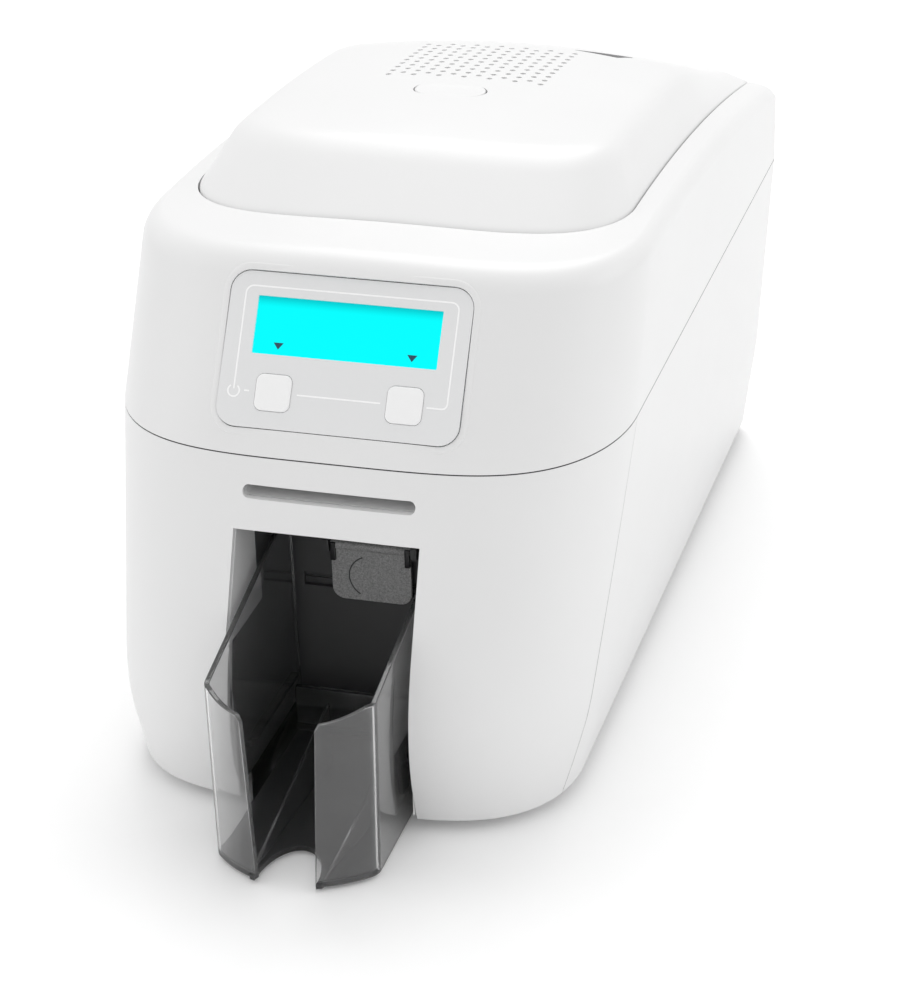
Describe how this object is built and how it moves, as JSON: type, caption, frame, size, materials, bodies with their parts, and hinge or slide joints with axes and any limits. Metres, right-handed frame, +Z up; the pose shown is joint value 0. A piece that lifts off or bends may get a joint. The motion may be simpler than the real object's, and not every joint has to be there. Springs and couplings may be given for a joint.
{
  "type": "id card printer",
  "caption": "Desktop card printer with a domed hinged lid, sloping display panel, hand-feed slot, smoke-clear card hopper and a geared print engine inside.",
  "frame": {"origin": "middle of the bounding box on the table plane, under the feet", "axes": "+Z up, the display and hopper face -Y, +X to the right seen from the front"},
  "size_m": [0.206, 0.4439, 0.2322],
  "materials": {
    "white_shell": "satin moulded",
    "panel_grey": "satin",
    "key_white": "satin",
    "liner_grey": "fine textured",
    "flap_grey": "fine textured",
    "accent_grey": "satin",
    "smoke_clear": "clear, smoke tinted",
    "display_cyan": "gloss",
    "circuit_board": "solder resist",
    "black_plastic": "satin",
    "steel_plate": "brushed",
    "steel_shaft": "ground",
    "head_metal": "anodised",
    "gear_plastic": "natural",
    "roller_rubber": "ground",
    "cleaning_rubber": "tacky",
    "foot_rubber": "matte",
    "film_black": "gloss"
  },
  "bodies": {
    "case": {"lower_case": "white_shell", "front_fascia": "white_shell", "upper_cover": "white_shell", "display_bezel": "panel_grey", "lcd_window": "display_cyan", "display_board": "circuit_board", "bay_liner": "liner_grey", "flap_pin": "black_plastic", "rear_panel": "flap_grey", "power_socket": "black_plastic", "usb_socket": "steel_plate", "network_socket": "steel_plate", "main_board": "circuit_board", "rubber_feet": "foot_rubber", "engine_deck": "steel_plate", "left_frame": "steel_plate", "right_frame": "steel_plate", "deck_screws": "steel_shaft", "hinge_pins": "steel_shaft", "latch_bar": "steel_shaft", "idler_studs": "steel_shaft", "drive_motor": "steel_plate"},
    "lid": {"lid": "white_shell", "corner_accent": "accent_grey", "latch_pin": "steel_shaft", "printhead_bracket": "head_metal", "printhead": "head_metal"},
    "release_button": {"lid_release_button": "key_white"},
    "latch": {"latch_hook": "flap_grey"},
    "left_key": {"left_key": "key_white"},
    "right_key": {"right_key": "key_white"},
    "hopper": {"card_hopper": "smoke_clear"},
    "flap": {"exit_flap": "flap_grey"},
    "infeed": {"infeed_roller": "roller_rubber", "infeed_gear": "gear_plastic"},
    "cleaning_drive": {"cleaning_drive_roller": "roller_rubber", "cleaning_drive_gear": "gear_plastic"},
    "platen": {"platen_roller": "roller_rubber", "platen_gear": "gear_plastic"},
    "outfeed": {"outfeed_roller": "roller_rubber", "outfeed_gear": "gear_plastic"},
    "front_idler": {"front_idler_gear": "gear_plastic"},
    "middle_idler": {"middle_idler_gear": "gear_plastic"},
    "rear_idler": {"rear_idler_gear": "gear_plastic"},
    "pinion": {"motor_pinion": "gear_plastic"},
    "infeed_pinch": {"infeed_pinch_roller": "roller_rubber"},
    "cleaning_top": {"cleaning_roller": "cleaning_rubber"},
    "outfeed_pinch": {"outfeed_pinch_roller": "roller_rubber"},
    "supply": {"supply_spool": "key_white", "supply_film_roll": "film_black"},
    "takeup": {"takeup_spool": "key_white", "takeup_film_roll": "film_black"}
  },
  "joints": [
    {"name": "lid_hinge", "type": "hinge", "parent": "case", "child": "lid", "pos_m": [0, 0.21, 0.176], "axis": [-1, 0, 0], "range_deg": [0, 75]},
    {"name": "release_slide", "type": "slide", "parent": "lid", "child": "release_button", "axis": [0, 0, -1], "range_m": [0, 0.0025], "stiffness_N_per_m": 600},
    {"name": "latch_pivot", "type": "hinge", "parent": "lid", "child": "latch", "pos_m": [0, 0.012, 0.206], "axis": [-1, 0, 0], "range_deg": [0, 12]},
    {"name": "left_key_press", "type": "slide", "parent": "case", "child": "left_key", "axis": [0, 0.848, -0.5299], "range_m": [0, 0.001], "stiffness_N_per_m": 500},
    {"name": "right_key_press", "type": "slide", "parent": "case", "child": "right_key", "axis": [0, 0.848, -0.5299], "range_m": [0, 0.001], "stiffness_N_per_m": 500},
    {"name": "hopper_slide", "type": "slide", "parent": "case", "child": "hopper", "axis": [0, -1, 0], "range_m": [0, 0.09]},
    {"name": "flap_swing", "type": "hinge", "parent": "case", "child": "flap", "pos_m": [0, -0.1015, 0.084], "axis": [-1, 0, 0], "range_deg": [0, 60]},
    {"name": "platen_spin", "type": "hinge", "parent": "case", "child": "platen", "pos_m": [0, 0.016, 0.12], "axis": [1, 0, 0], "continuous": true},
    {"name": "infeed_spin", "type": "hinge", "parent": "case", "child": "infeed", "pos_m": [0, -0.08, 0.12], "axis": [1, 0, 0], "continuous": true},
    {"name": "cleaning_drive_spin", "type": "hinge", "parent": "case", "child": "cleaning_drive", "pos_m": [0, -0.032, 0.12], "axis": [1, 0, 0], "continuous": true},
    {"name": "outfeed_spin", "type": "hinge", "parent": "case", "child": "outfeed", "pos_m": [0, 0.064, 0.12], "axis": [1, 0, 0], "continuous": true},
    {"name": "front_idler_spin", "type": "hinge", "parent": "case", "child": "front_idler", "pos_m": [0, -0.056, 0.12], "axis": [1, 0, 0], "continuous": true},
    {"name": "middle_idler_spin", "type": "hinge", "parent": "case", "child": "middle_idler", "pos_m": [0, -0.008, 0.12], "axis": [1, 0, 0], "continuous": true},
    {"name": "rear_idler_spin", "type": "hinge", "parent": "case", "child": "rear_idler", "pos_m": [0, 0.04, 0.12], "axis": [1, 0, 0], "continuous": true},
    {"name": "pinion_spin", "type": "hinge", "parent": "case", "child": "pinion", "pos_m": [0, 0.04, 0.102], "axis": [1, 0, 0], "continuous": true},
    {"name": "infeed_pinch_spin", "type": "hinge", "parent": "case", "child": "infeed_pinch", "pos_m": [0, -0.08, 0.1348], "axis": [1, 0, 0], "continuous": true},
    {"name": "cleaning_roller_spin", "type": "hinge", "parent": "case", "child": "cleaning_top", "pos_m": [0, -0.032, 0.1348], "axis": [1, 0, 0], "continuous": true},
    {"name": "outfeed_pinch_spin", "type": "hinge", "parent": "case", "child": "outfeed_pinch", "pos_m": [0, 0.064, 0.1348], "axis": [1, 0, 0], "continuous": true},
    {"name": "supply_spin", "type": "hinge", "parent": "case", "child": "supply", "pos_m": [0, 0.066, 0.165], "axis": [1, 0, 0], "continuous": true},
    {"name": "takeup_spin", "type": "hinge", "parent": "case", "child": "takeup", "pos_m": [0, -0.034, 0.163], "axis": [1, 0, 0], "continuous": true}
  ],
  "couplings": [
    {"joint": "infeed_spin", "follows": "platen_spin", "ratio": 1},
    {"joint": "cleaning_drive_spin", "follows": "platen_spin", "ratio": 1},
    {"joint": "outfeed_spin", "follows": "platen_spin", "ratio": 1},
    {"joint": "front_idler_spin", "follows": "platen_spin", "ratio": -1},
    {"joint": "middle_idler_spin", "follows": "platen_spin", "ratio": -1},
    {"joint": "rear_idler_spin", "follows": "platen_spin", "ratio": -1},
    {"joint": "pinion_spin", "follows": "platen_spin", "ratio": 2},
    {"joint": "infeed_pinch_spin", "follows": "platen_spin", "ratio": -1.8},
    {"joint": "cleaning_roller_spin", "follows": "platen_spin", "ratio": -1.8},
    {"joint": "outfeed_pinch_spin", "follows": "platen_spin", "ratio": -1.8},
    {"joint": "latch_pivot", "follows": "release_slide", "rad_per_m": 83},
    {"joint": "takeup_spin", "follows": "supply_spin", "ratio": 1.5}
  ]
}
